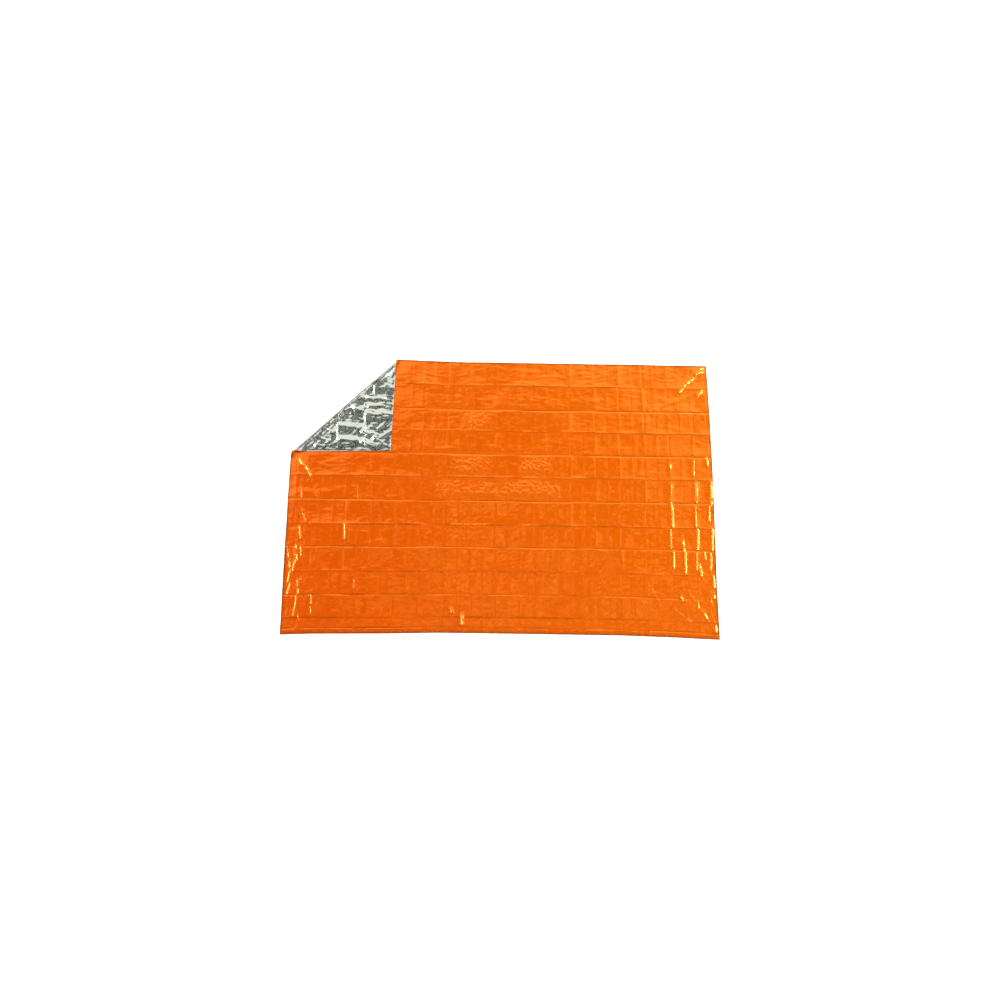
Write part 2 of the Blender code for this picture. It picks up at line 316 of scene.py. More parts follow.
# Pleats on the folded corner, each a crest with a flat flank behind it and another before it,
# fading past both ends
Pleat = namedtuple("Pleat", "x0 y0 x1 y1 height back front")
PLEAT_END = 0.012
FLAP_PLEATS = (
    Pleat(-0.832, 0.344, -0.699, 0.335, 0.0056, 0.022, 0.042),
    Pleat(-0.828, 0.272, -0.706, 0.261, 0.0059, 0.024, 0.013),
    Pleat(-0.706, 0.261, -0.633, 0.225, 0.0052, 0.022, 0.014),
    Pleat(-0.827, 0.421, -0.766, 0.439, 0.0052, 0.020, 0.052),
    Pleat(-0.766, 0.439, -0.714, 0.429, 0.0052, 0.020, 0.052),
    Pleat(-0.693, 0.407, -0.560, 0.409, 0.0056, 0.026, 0.044),
    Pleat(-0.680, 0.448, -0.608, 0.454, 0.0046, 0.020, 0.009),
    Pleat(-0.728, 0.493, -0.605, 0.490, 0.0040, 0.014, 0.014),
    Pleat(-0.654, 0.551, -0.551, 0.550, 0.0080, 0.075, 0.034),
    Pleat(-0.645, 0.566, -0.548, 0.655, 0.0014, 0.006, 0.005),
    Pleat(-0.820, 0.395, -0.700, 0.500, 0.0050, 0.020, 0.014),
    Pleat(-0.915, 0.300, -0.845, 0.365, 0.0040, 0.016, 0.010),
    Pleat(-1.000, 0.225, -0.950, 0.270, 0.0029, 0.012, 0.010),
    Pleat(-0.708, 0.314, -0.646, 0.283, 0.0063, 0.030, 0.010),
    Pleat(-0.628, 0.331, -0.569, 0.380, 0.0029, 0.012, 0.010),
    Pleat(-0.615, 0.283, -0.561, 0.321, 0.0029, 0.012, 0.010),
    Pleat(-0.630, 0.272, -0.572, 0.231, 0.0024, 0.010, 0.008),
    Pleat(-0.603, 0.236, -0.559, 0.268, 0.0019, 0.008, 0.008),
    Pleat(-0.630, 0.384, -0.565, 0.401, 0.0024, 0.010, 0.010),
    Pleat(-0.930, 0.284, -0.868, 0.258, 0.0019, 0.008, 0.016),
    Pleat(-0.897, 0.321, -0.834, 0.296, 0.0024, 0.010, 0.016),
    Pleat(-0.867, 0.242, -0.832, 0.259, 0.0019, 0.008, 0.010),
    Pleat(-0.937, 0.241, -0.881, 0.226, 0.0019, 0.008, 0.010),
    Pleat(-1.018, 0.230, -0.959, 0.257, 0.0019, 0.008, 0.012),
    Pleat(-0.821, 0.419, -0.771, 0.436, 0.0019, 0.008, 0.008),
    Pleat(-0.767, 0.447, -0.723, 0.496, 0.0024, 0.010, 0.008),
    Pleat(-1.017, 0.216, -0.557, 0.219, 0.0022, 0.009, 0.004),
)
# Soft ridges between the pleats
FLAP_RIDGES = (
    Wrinkle(-0.836, 0.403, -0.828, 0.227, 0.0018, 0.0036),
    Wrinkle(-0.705, 0.496, -0.695, 0.351, 0.0020, 0.0036),
    Wrinkle(-0.949, 0.294, -0.941, 0.225, 0.0016, 0.0036),
    Wrinkle(-0.605, 0.492, -0.577, 0.444, 0.0026, 0.0060),
    Wrinkle(-0.680, 0.557, -0.647, 0.513, 0.0026, 0.0060),
    Wrinkle(-0.597, 0.541, -0.559, 0.498, 0.0022, 0.0060),
    Wrinkle(-0.575, 0.480, -0.560, 0.231, 0.0016, 0.0060),
)
# Length and height of each straight fold of the crush over the whole corner, and how far the
# folds bend and how long the bends are, in shares of that length
FLAP_WAVES = (
    (0.095, 0.0007),
    (0.070, 0.0006),
    (0.052, 0.0006),
    (0.034, 0.0005),
    (0.024, 0.0004),
    (0.017, 0.0003),
)
WAVE_BEND = 0.35
WAVE_BEND_LENGTH = 1.6

# Longest mesh edges along and across the sheet: on the flap, on the wrinkles out to some of their
# widths, and at the crests of the wrinkles by the corners
FLAP_MESH = (0.0040, 0.0050)
WRINKLE_MESH = (0.0036, 0.0070)
WRINKLE_REACH = 2.0
CREST_MESH = (0.0011, 0.0011)
CREST_REACH = 0.7
REFINE_ROUNDS = 4
# Least share of an edge's length that lies along one axis for it to be cut
STRAIGHT_SHARE = 0.99
# Within this distance the cuts along the roll use the mesh points that are there
CUT_SNAP = 0.0002

# How wide painted shade darkens the orange along the cut edge
EDGE_SHADE_WIDTH = 0.010
# Sharpest bend, in degrees, that is still shaded smooth
SMOOTH_ANGLE = 60.0

# Where the film is finely wrinkled. reach is the half-size of a zone along and across, and a zone
# has faded out at ZONE_EDGE times its reach.
Zone = namedtuple("Zone", "x y reach_x reach_y strength")
ZONE_EDGE = 1.2
ZONE_FADE = 0.5
CRACKLE_ZONES = (
    Zone(-0.15, 0.150, 0.10, 0.045, 0.9),
    Zone(0.17, 0.150, 0.07, 0.045, 0.9),
    Zone(-0.16, 0.025, 0.16, 0.045, 0.7),
    Zone(0.15, 0.025, 0.15, 0.045, 0.9),
    Zone(-0.12, 0.390, 0.07, 0.030, 0.6),
    Zone(-0.16, -0.205, 0.10, 0.045, 0.6),
    Zone(-1.00, -0.430, 0.04, 0.200, 0.25),
)
DRAWN_ZONES = (
    Zone(0.10, 0.510, 0.60, 0.060, 1.0),
    Zone(0.20, 0.390, 0.70, 0.050, 0.6),
    Zone(0.05, 0.640, 0.55, 0.040, 0.4),
    Zone(0.15, 0.270, 0.30, 0.050, 0.5),
    Zone(-0.20, -0.340, 0.80, 0.050, 0.4),
    Zone(-0.10, -0.570, 0.90, 0.050, 0.6),
    Zone(0.60, -0.560, 0.40, 0.050, 0.5),
    Zone(-0.55, -0.450, 0.20, 0.080, 0.8),
)
RIPPLE_ZONES = (
    Zone(0.55, -0.385, 0.10, 0.095, 1.0),
    Zone(0.30, -0.330, 0.12, 0.040, 0.4),
    Zone(0.80, -0.340, 0.20, 0.320, 0.5),
)


def linear_colour(code):
    """Linear RGBA of an sRGB hex colour."""
    channels = [int(code[place:place + 2], 16) / 255 for place in (1, 3, 5)]
    low = [channel / 12.92 for channel in channels]
    high = [((channel + 0.055) / 1.055) ** 2.4 for channel in channels]
    picked = [a if c <= 0.04045 else b for a, b, c in zip(low, high, channels)]
    return (*picked, 1.0)


def smooth_share(value):
    """Ease values from 0 to 1."""
    value = np.clip(value, 0.0, 1.0)
    return value * value * (3.0 - 2.0 * value)


def blended(table, column, row, right, up):
    """Values between the places of a table that repeats, from shares of the way to the next."""
    columns, rows = table.shape
    column, column_next = column % columns, (column + 1) % columns
    row, row_next = row % rows, (row + 1) % rows
    lower = table[column, row] * (1 - right) + table[column_next, row] * right
    upper = table[column, row_next] * (1 - right) + table[column_next, row_next] * right
    return lower * (1 - up) + upper * up


def value_noise(x, y, cell_x, cell_y, seed):
    """Smooth noise from -1 to 1, with cells of the given size."""
    table = np.random.default_rng(seed).uniform(-1.0, 1.0, (NOISE_TABLE, NOISE_TABLE))
    x = x / cell_x + NOISE_START
    y = y / cell_y + NOISE_START
    column = np.floor(x).astype(int)
    row = np.floor(y).astype(int)
    return blended(table, column, row, smooth_share(x - column), smooth_share(y - row))


def uneven_share(u, v, uneven, number):
    """Share that varies over the sheet in a way of its own for each number."""
    noise = value_noise(u, v, uneven.cell_x, uneven.cell_y, uneven.seed + number)
    return uneven.mean + uneven.spread * noise


def folded_waves(x, y, waves, seed):
    """Sum of straight sharp-edged waves in many directions, bent a little, like crushed foil."""
    total = np.zeros_like(x)
    turns = np.random.default_rng(seed)
    for length, height in waves:
        angle = turns.uniform(0.0, pi)
        start = turns.uniform(0.0, 1.0)
        cell = WAVE_BEND_LENGTH * length
        bend = WAVE_BEND * value_noise(x, y, cell, cell, int(turns.integers(1000)))
        phase = (x * np.cos(angle) + y * np.sin(angle)) / length + start + bend
        total += height * (1.0 - 4.0 * np.abs(phase - np.floor(phase) - 0.5))
    return total


def ridge(offset, back, front):
    """Height share of a ridge at an offset from its crease, with a width for each flank."""
    return np.exp(-np.abs(offset) / np.where(offset > 0.0, back, front))


def trough(offset, width):
    """Height share of a trough's shoulders at an offset from its crease."""
    share = np.abs(offset) / width
    return share * np.exp(1.0 - share)


def from_crest(x, y, row):
    """How far places lie in front of a crest's line, and how far past its nearer end."""
    run = np.array((row.x1 - row.x0, row.y1 - row.y0))
    length = np.linalg.norm(run)
    along = ((x - row.x0) * run[0] + (y - row.y0) * run[1]) / length
    before = ((x - row.x0) * run[1] - (y - row.y0) * run[0]) / length
    return before, np.maximum(0.0, np.abs(along - length / 2) - length / 2)


def wrinkle_relief(x, y, wrinkles):
    """Height of soft ridges, each from its start to its end and fading at both."""
    height = np.zeros_like(x)
    for row in wrinkles:
        before, past_end = from_crest(x, y, row)
        height += row.height * np.exp(-np.abs(before) / row.width - past_end / row.width)
    return height


def pleat_relief(x, y, pleats):
    """Height of sharp crests between flat flanks, fading past both ends."""
    height = np.zeros_like(x)
    for row in pleats:
        before, past_end = from_crest(x, y, row)
        flank = np.where(before < 0.0, -before / row.back, before / row.front)
        ends = smooth_share(1.0 - past_end / PLEAT_END)
        height += row.height * np.maximum(0.0, 1.0 - flank) * ends
    return height


def zone_strength(x, y, zones):
    """Strength of the crumpling, from 0 outside all zones."""
    strength = np.zeros_like(x)
    for zone in zones:
        far = np.maximum(np.abs(x - zone.x) / zone.reach_x, np.abs(y - zone.y) / zone.reach_y)
        inside = smooth_share((ZONE_EDGE - far) / ZONE_FADE)
        strength = np.maximum(strength, zone.strength * inside)
    return strength


def column_creases():
    """Each short crease from left to right: its place, its number and whether it is a half one."""
    first = LAST_COLUMN - (COLUMN_COUNT - 1) * COLUMN_PITCH
    mains = [(first + number * COLUMN_PITCH, number, False) for number in range(COLUMN_COUNT)]
    halves = [(at + COLUMN_PITCH / 2, number, True) for at, number, _ in mains[:-1]]
    return sorted(mains + halves + [(LAST_HALF_COLUMN, COLUMN_COUNT - 1, True)])


def column_band(at):
    """Band of the sheet that a place along it lies in."""
    return next(band for band in COLUMN_BANDS if at <= band.up_to)


def painted_crease_shade(u, v):
    """How far painted shade darkens the film along its creases, unevenly, from 0 to 1."""
    lines = np.zeros_like(u)
    for number, row in enumerate(ROW_CREASES):
        painted_shade_share = uneven_share(u, v, ROW_CREASE_SHADE, number)
        lines = np.maximum(lines, painted_shade_share * np.exp(-np.abs(v - row.at) / CREASE_SHADE_WIDTH))
    for number, (at, _, _) in enumerate(column_creases()):
        painted_shade_share = uneven_share(u, v, COLUMN_CREASE_SHADE, number)
        lines = np.maximum(lines, painted_shade_share * np.exp(-np.abs(u - at) / CREASE_SHADE_WIDTH))
    return lines


def cell_places():
    """Places of the main creases both ways, with the edges of the sheet."""
    columns = [at for at, _, is_half in column_creases() if not is_half]
    rows = [row.at for row in ROW_CREASES[1:]]
    return [-HALF_WIDTH, *columns, HALF_WIDTH], [-HALF_DEPTH, *rows, HALF_DEPTH]


def panel_relief(u, v):
    """Height of the flat panels between the creases, each tilted a little its own way."""
    columns, rows = cell_places()
    corners = (len(columns), len(rows))
    table = np.random.default_rng(PANEL_SEED).uniform(0.0, PANEL_LIFT, corners)
    along = np.interp(u, columns, np.arange(len(columns)))
    across = np.interp(v, rows, np.arange(len(rows)))
    column = np.minimum(along.astype(int), len(columns) - 2)
    row = np.minimum(across.astype(int), len(rows) - 2)
    return blended(table, column, row, along - column, across - row)


def row_relief(u, v):
    """Height that the long creases give the sheet, shifting a little from panel to panel."""
    columns, _ = cell_places()
    panel = np.searchsorted(columns, u)
    table = (len(ROW_CREASES), len(columns) + 1)
    shifts = np.random.default_rng(ROW_DRIFT_SEED).uniform(-1.0, 1.0, table)
    height = np.zeros_like(u)
    for number, row in enumerate(ROW_CREASES):
        tall = row.height * uneven_share(u, v, ROW_HEIGHT_SHARE, number)
        offset = v - row.at - CREASE_DRIFT * shifts[number][panel]
        if row.form == "ridge":
            height += tall * ridge(offset, ROW_RIDGE_BACK, ROW_RIDGE_FRONT)
        else:
            height += tall * trough(offset, ROW_TROUGH_WIDTH)
    return height


def column_relief(u, v):
    """Height that the short creases give the sheet, ridge and trough by turns of the rows."""
    places = np.array([row.at for row in ROW_CREASES[1:]])
    row_number = np.searchsorted(places, v)
    from_row = np.min(np.abs(v[:, None] - places[None, :]), axis=1)
    table = (2 * COLUMN_COUNT + 2, len(places) + 1)
    shares = np.random.default_rng(COLUMN_SHARE_SEED).uniform(*COLUMN_SHARES, table)
    drift = np.random.default_rng(COLUMN_DRIFT_SEED)
    shifts = drift.uniform(-CREASE_DRIFT, CREASE_DRIFT, table)
    height = np.zeros_like(u)
    for place, (at, number, is_half) in enumerate(column_creases()):
        band = column_band(at)
        tall = (band.half if is_half else band.main) * shares[place][row_number]
        up = (number + row_number) % 2 == 0
        offset = u - at - shifts[place][row_number]
        raised = ridge(offset, COLUMN_RIDGE_WIDTH, COLUMN_RIDGE_WIDTH)
        sunk = COLUMN_TROUGH_SHARE * trough(offset, COLUMN_TROUGH_WIDTH)
        height += tall * np.where(up, raised, sunk)
    clear = smooth_share(from_row / CROSSING_FADE)
    return height * (CROSSING_SHARE + (1.0 - CROSSING_SHARE) * clear)


def sheet_relief(u, v):
    """Height of the laid-out film over the surface."""
    height = row_relief(u, v) + column_relief(u, v) + wrinkle_relief(u, v, SHEET_WRINKLES)
    height += panel_relief(u, v)
    height += SWELL_HEIGHT * (1.0 + value_noise(u, v, *SWELL_CELL, SWELL_SEED))
    return height


def flap_relief(x, y):
    """Height of the crushed folds on the turned-over corner, at their place in plan."""
    height = CRUSH_HEIGHT + folded_waves(x, y, FLAP_WAVES, CRUSH_SEED)
    return height + wrinkle_relief(x, y, FLAP_RIDGES) + pleat_relief(x, y, FLAP_PLEATS)


def past_fold(u, v):
    """How far places lie past the line of the fold, towards the corner."""
    return (u - FOLD_START[0]) * FOLD_ACROSS[0] + (v - FOLD_START[1]) * FOLD_ACROSS[1]


def under_flap(along, past):
    """1 under the folded corner, easing to 0 a little way outside it."""
    corner = np.array((-HALF_WIDTH, HALF_DEPTH)) - FOLD_START
    reach = corner @ FOLD_ACROSS - ROLL_LENGTH
    middle = corner @ FOLD_ALONG
    half_span = np.linalg.norm(FOLD_END - FOLD_START) / 2
    # Full out to one fade past the corner's edges, and nothing past two
    margin = 2 * CREASE_FADE
    inside_tip = reach + margin + past
    inside_edges = half_span + margin - np.abs(along - middle) + past
    return smooth_share(np.minimum(inside_tip, inside_edges) / CREASE_FADE)


def laid_height(u, v, along, past):
    """Height of the film before the fold, pressed where the corner lies on it."""
    fade = smooth_share(np.maximum(-past, past - ROLL_LENGTH) / CREASE_FADE)
    relief = sheet_relief(u, v)
    pressing = (1.0 - PRESSED_SHARE) * under_flap(along, past)
    return fade * (relief + pressing * (PRESSED_HEIGHT - relief))


def flap_height(u, v, x, y, along, back):
    """Height of the turned-over corner, from the top of the roll to where it rests."""
    level = np.interp(along, [row.at for row in ROLL_TOP], [row.level for row in ROLL_TOP])
    fall = np.clip(1.0 - (back - level) / FLAP_FALL, 0.0, 1.0)
    height = FLAP_REST + (2.0 * ROLL_RADIUS - FLAP_REST) * fall * fall
    creases = FLAP_CREASE_GAIN * (row_relief(u, v) + column_relief(u, v))
    from_edge = np.minimum(u + HALF_WIDTH, HALF_DEPTH - v)
    loose = FLAP_EDGE_SHARE + (1.0 - FLAP_EDGE_SHARE) * smooth_share(from_edge / FLAP_EDGE_EASE)
    height += smooth_share((back - level) / FLAP_FADE) * loose * (creases + flap_relief(x, y))
    return height + FLAP_CURL * np.exp(-from_edge / FLAP_CURL_WIDTH)


def fold_corner(u, v):
    """Places of the cut sheet's points once it is creased and its corner is rolled over."""
    past = past_fold(u, v)
    along = (u - FOLD_START[0]) * FOLD_ALONG[0] + (v - FOLD_START[1]) * FOLD_ALONG[1]
    turn = np.clip(past / ROLL_RADIUS, 0.0, pi)
    back = np.maximum(0.0, past - ROLL_LENGTH)
    up_to_roll = np.minimum(past, ROLL_RADIUS * np.sin(turn))
    across = np.where(past > ROLL_LENGTH, -FLAP_DRAWN_IN * back, up_to_roll)
    slipped = along + FLAP_SLIP * back
    x = FOLD_START[0] + FOLD_ALONG[0] * slipped + FOLD_ACROSS[0] * across
    y = FOLD_START[1] + FOLD_ALONG[1] * slipped + FOLD_ACROSS[1] * across
    laid = laid_height(u, v, along, past)
    rolled = ROLL_RADIUS * (1.0 - np.cos(turn))
    turned = flap_height(u, v, x, y, along, back)
    height = np.where(past <= 0.0, laid, np.where(past < ROLL_LENGTH, rolled, turned))
    return x, y, height


def draw_in(x, y):
    """Pull the outline in from the cut rectangle to where the edges lie."""
    def inset(stations, at):
        return np.interp(at, [row.at for row in stations], [row.inset for row in stations])

    side = np.where(x < 0.0, inset(LEFT_EDGE, y), inset(RIGHT_EDGE, y))
    end = np.where(y < 0.0, inset(BOTTOM_EDGE, x), inset(TOP_EDGE, x))
    return x * (1.0 - side / HALF_WIDTH), y * (1.0 - end / HALF_DEPTH)


def crowded_lines(creases, middles, crease_feet):
    """Places of mesh lines from crease to crease: a few at each crease's foot, even between."""
    places = [creases[0]]
    for low, high, middle in zip(creases, creases[1:], middles):
        feet = [foot for foot in crease_feet if foot < FOOT_REACH * (high - low)]
        places += [low + foot for foot in feet]
        places += list(np.linspace(low + feet[-1], high - feet[-1], middle + 1)[1:])
        places += [high - foot for foot in reversed(feet[:-1])]
        places.append(high)
    return np.array(places)


def near_wrinkles(x, y, wrinkles, reach):
    """Whether places lie within so many widths of the crest of any of the wrinkles."""
    near = np.zeros(len(x), dtype=bool)
    for row in wrinkles:
        near |= np.hypot(*from_crest(x, y, row)) < reach * row.width
    return near


def refine(grid, inside, way, limit):
    """Halve the edges that run one way in a region until none there is longer than a limit."""
    for _ in range(REFINE_ROUNDS):
        ends = np.array([(*edge.verts[0].co.xy, *edge.verts[1].co.xy) for edge in grid.edges])
        run = ends[:, 2:] - ends[:, :2]
        middle = (ends[:, 2:] + ends[:, :2]) / 2
        length = np.linalg.norm(run, axis=1)
        picked = (length > limit) & (np.abs(run[:, way]) > STRAIGHT_SHARE * length)
        picked &= inside(middle[:, 0], middle[:, 1])
        long_edges = [edge for edge, keep in zip(grid.edges, picked) if keep]
        if long_edges:
            bmesh.ops.subdivide_edges(grid, edges=long_edges, cuts=1, use_grid_fill=True)


def creased_grid():
    """Flat cut sheet whose mesh lines crowd at the creases, cut along the roll and refined."""
    stops = [-HALF_WIDTH] + [at for at, _, _ in column_creases()] + [HALF_WIDTH]
    middles = [column_band(high).steps for high in stops[1:]]
    columns = crowded_lines(stops, middles, COLUMN_FEET)
    stops = [-HALF_DEPTH] + [row.at for row in ROW_CREASES] + [HALF_DEPTH]
    middles = [
        max(1, round(ROW_MIDDLE_STEPS * (high - low - ROW_FEET_ROOM) / ROW_MIDDLE_DEPTH))
        for low, high in zip(stops, stops[1:])
    ]
    rows = crowded_lines(stops, middles, ROW_FEET)
    across, down = len(columns) - 1, len(rows) - 1
    grid = bmesh.new()
    # The grid runs from -1 to 1 both ways until its lines go to their places
    bmesh.ops.create_grid(grid, x_segments=across, y_segments=down, size=1.0)
    for vert in grid.verts:
        column = round((vert.co.x + 1.0) / 2.0 * across)
        row = round((vert.co.y + 1.0) / 2.0 * down)
        vert.co = (columns[column], rows[row], 0.0)
    for step in range(ROLL_STEPS + 1):
        place = FOLD_START + FOLD_ACROSS * (ROLL_LENGTH * step / ROLL_STEPS)
        bmesh.ops.bisect_plane(
            grid,
            geom=grid.verts[:] + grid.edges[:] + grid.faces[:],
            dist=CUT_SNAP,
            plane_co=(*place, 0.0),
            plane_no=(*FOLD_ACROSS, 0.0),
        )

    def on_flap(x, y):
        return past_fold(x, y) > ROLL_LENGTH

    def on_wrinkles(x, y):
        return near_wrinkles(x, y, SHEET_WRINKLES, WRINKLE_REACH)

    def on_corner_crests(x, y):
        return near_wrinkles(x, y, CORNER_WRINKLES, CREST_REACH)

    for inside, limits in (
        (on_flap, FLAP_MESH),
        (on_wrinkles, WRINKLE_MESH),
        (on_corner_crests, CREST_MESH),
    ):
        for way, limit in enumerate(limits):
            refine(grid, inside, way, limit)
    many_sided = [face for face in grid.faces if len(face.verts) > 4]
    bmesh.ops.triangulate(grid, faces=many_sided)
    return grid


def add_node(tree, kind, settings=None, links=None):
    """Add a shader node, set its values by property or input name, and link its inputs."""
    node = tree.nodes.new("ShaderNode" + kind)
    for name, value in (settings or {}).items():
        if isinstance(name, int) or name in node.inputs:
            node.inputs[name].default_value = value
        else:
            setattr(node, name, value)
    for name, source in (links or {}).items():
        tree.links.new(source, node.inputs[name])
    return node


# Sockets of a Mix node that mixes colours
MIX_FROM = 6
MIX_TO = 7
MIX_RESULT = 2
# Swirls that bend a pattern of cells, to each cell
SWIRL_RATE = 0.5


def film_place(tree):
    """Vector in metres over the flat cut sheet, from its UV map."""
    flat = add_node(tree, "UVMap", {"uv_map": "cut_sheet"})
    scaled = add_node(
        tree, "Mapping", {"Scale": (CUT_WIDTH, CUT_DEPTH, 1.0)}, {"Vector": flat.outputs["UV"]}
    )
    return scaled.outputs["Vector"]


def bump_layer(tree, place, layer):
    """Height in millimetres of one layer of fine creases, where its painted strength allows."""
    rate = (1.0 / (layer.size_x * MM), 1.0 / (layer.size_y * MM), 1.0)
    if layer.kind == "CELLS":
        swirl = add_node(tree, "TexNoise", {"Scale": SWIRL_RATE * rate[0]}, {"Vector": place})
        # The swirl runs from 0 to 1, so twice the bend moves places by the bend each way
        bent = add_node(
            tree,
            "VectorMath",
            {"operation": "MULTIPLY_ADD", 1: (2.0 * layer.bend * MM,) * 3},
            {0: swirl.outputs["Color"], 2: place},
        )
        place = bent.outputs["Vector"]
    scaled = add_node(tree, "Mapping", {"Scale": rate}, {"Vector": place}).outputs["Vector"]
    look = {"Scale": 1.0, "Detail": layer.detail}
    if layer.kind == "CELLS":
        shape = add_node(tree, "TexVoronoi", look, {"Vector": scaled}).outputs["Distance"]
    else:
        look.update(noise_type=layer.kind, Distortion=layer.bend)
        shape = add_node(tree, "TexNoise", look, {"Vector": scaled}).outputs["Fac"]
    painted = add_node(tree, "Attribute", {"attribute_name": layer.zone})
    limits = {"To Min": layer.low, "To Max": layer.high}
    strength = add_node(tree, "MapRange", limits, {"Value": painted.outputs["Fac"]})
    height = add_node(
        tree, "Math", {"operation": "MULTIPLY"}, {0: shape, 1: strength.outputs["Result"]}
    )
    return height.outputs["Value"]


def crinkle_bump(tree, place, layers):
    """Normal of fine creases in the film, from layers of heights in millimetres."""
    height = None
    for layer in layers:
        part = bump_layer(tree, place, layer)
        if height is None:
            height = part
        else:
            height = add_node(tree, "Math", links={0: height, 1: part}).outputs["Value"]
    bump = add_node(tree, "Bump", {"Distance": MM}, {"Height": height})
    return bump.outputs["Normal"]


# Layers of fine creases: sizes and heights in millimetres, low outside the zone and high inside.
# Real crinkles are finer still, and these are as coarse as they have to be to show.
BumpLayer = namedtuple("BumpLayer", "zone kind size_x size_y detail bend low high")
ORANGE_LAYERS = (
    BumpLayer("crackle", "CELLS", 17.0, 17.0, 0.0, 12.0, 0.0, 3.4),
    BumpLayer("crackle", "FBM", 120.0, 60.0, 1.0, 0.8, 2.0, 2.8),
    BumpLayer("crackle", "FBM", 40.0, 28.0, 0.0, 0.8, 0.6, 1.6),
    BumpLayer("crackle", "RIDGED_MULTIFRACTAL", 110.0, 60.0, 0.0, 1.0, 0.8, 1.2),
    BumpLayer("drawn", "FBM", 90.0, 30.0, 1.0, 0.6, 0.6, 2.0),
    BumpLayer("ripple", "FBM", 16.0, 130.0, 0.0, 0.2, 0.25, 1.4),
)
SILVER_LAYERS = (
    BumpLayer("crackle", "CELLS", 34.0, 24.0, 0.0, 20.0, 0.4, 0.4),
    BumpLayer("crackle", "CELLS", 13.0, 13.0, 0.0, 8.0, 0.3, 0.3),
)


def new_material(name, looks):
    """New material with these values in its Principled shader, with its tree and that shader."""
    material = bpy.data.materials.new(name)
    material.use_nodes = True
    shader = material.node_tree.nodes["Principled BSDF"]
    for socket, value in looks.items():
        shader.inputs[socket].default_value = value
    return material, material.node_tree, shader


# The pigment: size of its mottle in millimetres, and the share that the mottle has in it. Then
# painted light: how fast the orange is made lighter along and across the sheet, in shares a metre
PIGMENT_MOTTLE = 90.0
MOTTLE_SHARE = 0.3
PAINTED_LIGHT_DRIFT = (0.20, 0.12, 0.0)


def orange_film(settings):
    """Pigmented polyethylene film, blown and laminated: saturated orange under a clear gloss."""
    # The metal layer shines through the pigment: some of the face mirrors as metal, and its gloss
    # mirrors more than the plastic alone would. The film is as smooth as its rollers leave it,
    # which keeps its flashes narrow.
    material, tree, shader = new_material(
        "pigmented_polyethylene_orange",
        {"Metallic": 0.26, "Roughness": 0.10, "IOR": 2.5, "Specular Tint": settings.orange_glint},
    )
    place = film_place(tree)
    mottle = add_node(
        tree, "TexNoise", {"Scale": 1.0 / (PIGMENT_MOTTLE * MM), "Detail": 3.0}, {"Vector": place}
    )
    # Painted light: the orange is made lighter towards the right and the back, where the light
    # falls
    drift = add_node(tree, "VectorMath", {"operation": "DOT_PRODUCT", 1: PAINTED_LIGHT_DRIFT}, {0: place})
    share = add_node(
        tree,
        "Math",
        {"operation": "MULTIPLY_ADD", 1: MOTTLE_SHARE},
        {0: mottle.outputs["Fac"], 2: drift.outputs["Value"]},
    )
    # The mix takes the pigment's random mottle and the painted light together
    pigment = add_node(
        tree,
        "Mix",
        {"data_type": "RGBA", MIX_FROM: settings.orange_deep, MIX_TO: settings.orange_light},
        {"Factor": share.outputs["Value"]},
    )
    # Painted shade: the orange is darkened along its cut edge and along its creases
    painted_shade = add_node(tree, "Attribute", {"attribute_name": "painted_shade"})
    painted_darkening = add_node(
        tree,
        "Mix",
        {"data_type": "RGBA", MIX_TO: settings.orange_painted_shade},
        {"Factor": painted_shade.outputs["Fac"], MIX_FROM: pigment.outputs[MIX_RESULT]},
    )
    tree.links.new(painted_darkening.outputs[MIX_RESULT], shader.inputs["Base Color"])
    normal = crinkle_bump(tree, place, ORANGE_LAYERS)
    tree.links.new(normal, shader.inputs["Normal"])
    return material


def silver_film(settings):
    """Aluminium vapour on polyester film: a bright mirror, broken up by fine creases."""
    # Bare metal on a smooth film: it mirrors the dark and the pale around it, a little softened
    material, tree, shader = new_material(
        "aluminised_polyester_silver",
        {"Base Color": settings.silver, "Metallic": 1.0, "Roughness": 0.11},
    )
    normal = crinkle_bump(tree, film_place(tree), SILVER_LAYERS)
    tree.links.new(normal, shader.inputs["Normal"])
    return material


def colour_setting(name, description, code):
    """Colour that the user may change, with its default from an sRGB hex value."""
    return bpy.props.FloatVectorProperty(
        name=name,
        description=description,
        default=linear_colour(code),
        size=4,
        min=0.0,
        max=1.0,
        subtype="COLOR",
    )


class FilmSettings(bpy.types.PropertyGroup):
    """Sizes and colours of the film sheet."""

    thickness: bpy.props.FloatProperty(
        name="Film thickness",
        description="Thickness that the finished film is given",
        default=0.0003,
        min=0.0001,
        max=0.002,
        precision=5,
        subtype="DISTANCE",
        unit="LENGTH",
    )
    # The light and deep orange are mixed by the pigment's mottle and by painted light towards the
    # right and the back
    orange_light: colour_setting(
        "Light orange",
        "Orange face where the pigment lies thinner",
        "#F97400",
    )
    orange_deep: colour_setting(
        "Deep orange",
        "Orange face where the pigment lies thicker",
        "#F55400",
    )
    # Colour of the painted shade along the cut edge and the creases
    orange_painted_shade: colour_setting(
        "Cut rim",
        "Orange face where it is worn dark, along its cut edge and its creases",
        "#762A00",
    )
    orange_glint: colour_setting(
        "Glint on orange",
        "Tint of what the metal layer mirrors back through the orange",
        "#FFE67A",
    )
    silver: colour_setting("Silver", "Reflection colour of the metallised back", "#E7EAE2")


